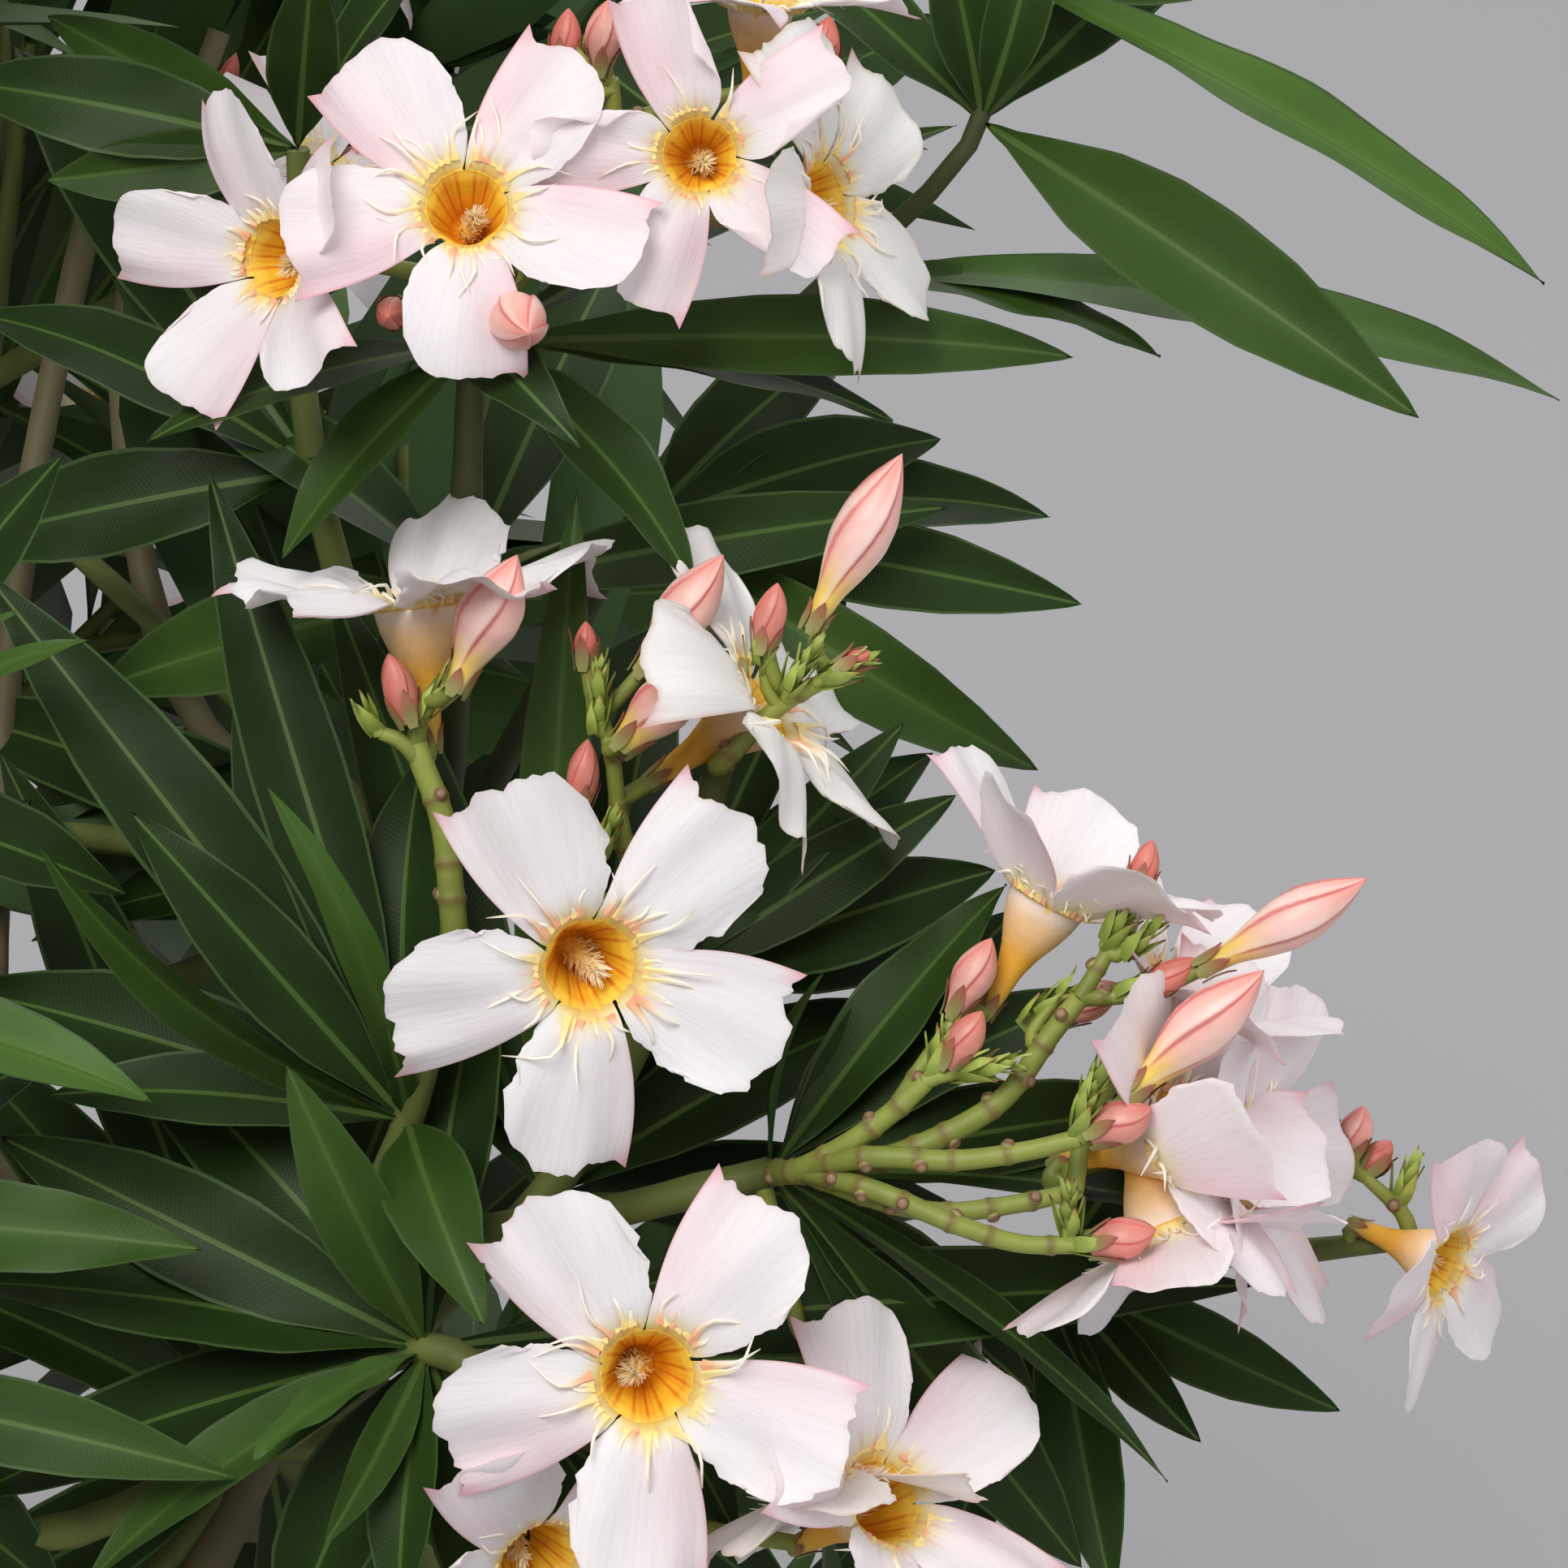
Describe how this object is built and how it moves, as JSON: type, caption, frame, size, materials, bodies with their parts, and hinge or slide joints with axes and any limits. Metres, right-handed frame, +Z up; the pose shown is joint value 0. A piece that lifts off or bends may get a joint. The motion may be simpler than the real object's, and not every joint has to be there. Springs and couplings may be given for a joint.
{
  "type": "potted oleander",
  "caption": "Flowering oleander shrub in a plain round clay pot: a clump of upright stems, lance-shaped leaves in whorls and heads of pale pink blooms with golden throats.",
  "frame": {"origin": "centre of the pot's flat underside", "axes": "+Z up along the pot's axis; the best side of flowers is at +X and towards -Y"},
  "size_m": [0.9128, 0.884, 1.1642],
  "materials": {
    "clay": "matte",
    "soil": "matte",
    "bark": "matte",
    "leaves": "satin",
    "young_stems": "satin",
    "petals": "matte",
    "throats": "matte",
    "buds": "satin"
  },
  "bodies": {
    "root": {"pot": "clay", "soil": "soil", "stem_1": "bark", "stem_2": "bark", "stem_3": "bark", "stem_4": "bark", "stem_5": "bark", "stem_6": "bark", "bough_1_low": "bark", "bough_1_middle": "bark", "bough_1_upper": "bark", "bough_1_top": "bark", "bough_2_low": "bark", "bough_2_middle": "bark", "bough_2_upper": "bark", "bough_2_top": "bark", "bough_3_low": "bark", "bough_3_middle": "bark", "bough_3_upper": "bark", "bough_3_top": "bark", "bough_4_low": "bark", "bough_4_middle": "bark", "bough_4_upper": "bark", "bough_4_top": "bark", "bough_5_low": "bark", "bough_5_middle": "bark", "bough_5_upper": "bark", "bough_5_top": "bark", "bough_6_low": "bark", "bough_6_middle": "bark", "bough_6_upper": "bark", "bough_6_top": "bark", "mass_1_low": "leaves", "mass_1_middle": "leaves", "mass_1_upper": "leaves", "mass_1_top": "leaves", "mass_2_low": "leaves", "mass_2_middle": "leaves", "mass_2_upper": "leaves", "mass_2_top": "leaves", "mass_3_low": "leaves", "mass_3_middle": "leaves", "mass_3_upper": "leaves", "mass_3_top": "leaves", "mass_4_low": "leaves", "mass_4_middle": "leaves", "mass_4_upper": "leaves", "mass_4_top": "leaves", "mass_5_low": "leaves", "mass_5_middle": "leaves", "mass_5_upper": "leaves", "mass_5_top": "leaves", "mass_6_low": "leaves", "mass_6_middle": "leaves", "mass_6_upper": "leaves", "mass_6_top": "leaves"}
  },
  "joints": []
}
